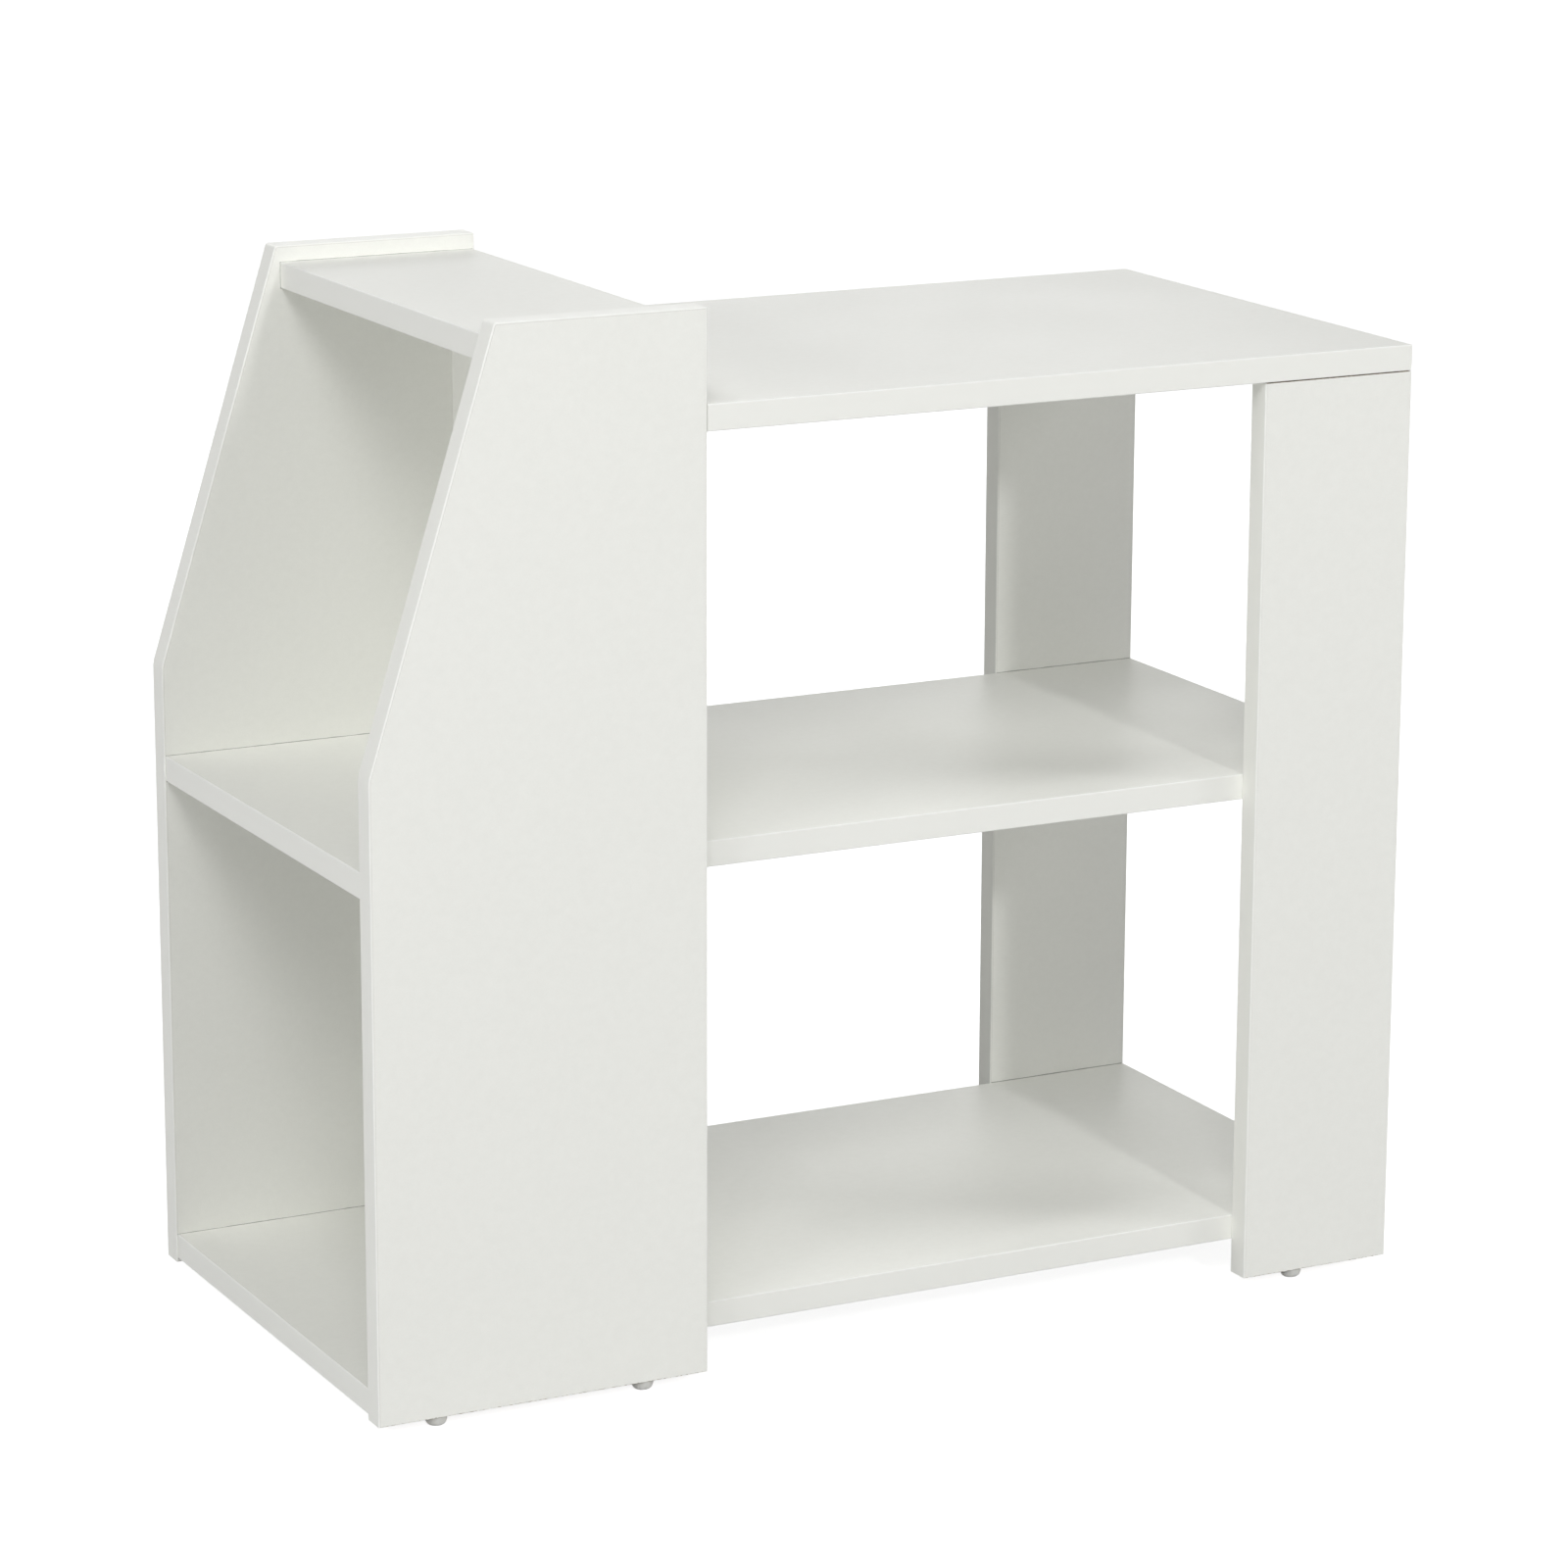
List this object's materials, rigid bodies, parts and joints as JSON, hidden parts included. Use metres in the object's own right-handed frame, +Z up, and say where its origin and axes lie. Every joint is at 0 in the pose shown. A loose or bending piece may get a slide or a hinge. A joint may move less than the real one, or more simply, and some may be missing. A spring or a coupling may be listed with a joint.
{
  "type": "side table with magazine rack",
  "caption": "Free-standing side table in white board, with a slant-sided magazine rack at one end and open shelves under its top.",
  "frame": {"origin": "middle of the footprint, on the floor that the glides stand on", "axes": "+X from the rack to the table's open end, +Y from the front to the back, +Z up"},
  "size_m": [0.648, 0.322, 0.606],
  "materials": {
    "white_board": "satin",
    "white_banding": "satin",
    "zinc": "satin",
    "steel": "satin",
    "beech": "matte",
    "white_plastic": "satin"
  },
  "bodies": {
    "root": {"rack_front_side": "white_board", "rack_back_side": "white_board", "rack_top_shelf": "white_board", "rack_middle_shelf": "white_board", "rack_bottom_shelf": "white_board", "divider": "white_board", "table_top": "white_board", "table_middle_shelf": "white_board", "table_bottom_shelf": "white_board", "front_leg": "white_board", "back_leg": "white_board", "rack_front_side_banding": "white_banding", "rack_back_side_banding": "white_banding", "rack_top_shelf_banding": "white_banding", "rack_middle_shelf_banding": "white_banding", "rack_bottom_shelf_banding": "white_banding", "table_top_banding": "white_banding", "table_middle_shelf_banding": "white_banding", "table_bottom_shelf_banding": "white_banding", "front_leg_banding": "white_banding", "back_leg_banding": "white_banding", "rack_cam_locks": "zinc", "table_cam_locks": "zinc", "rack_cam_bolts": "steel", "table_cam_bolts": "steel", "glide_nails": "steel", "rack_dowels": "beech", "table_dowels": "beech", "divider_cam_caps": "white_plastic", "leg_cam_caps": "white_plastic", "glide_rack_front_left": "white_plastic", "glide_rack_front_right": "white_plastic", "glide_rack_back_left": "white_plastic", "glide_rack_back_right": "white_plastic", "glide_front_leg": "white_plastic", "glide_back_leg": "white_plastic"}
  },
  "joints": []
}
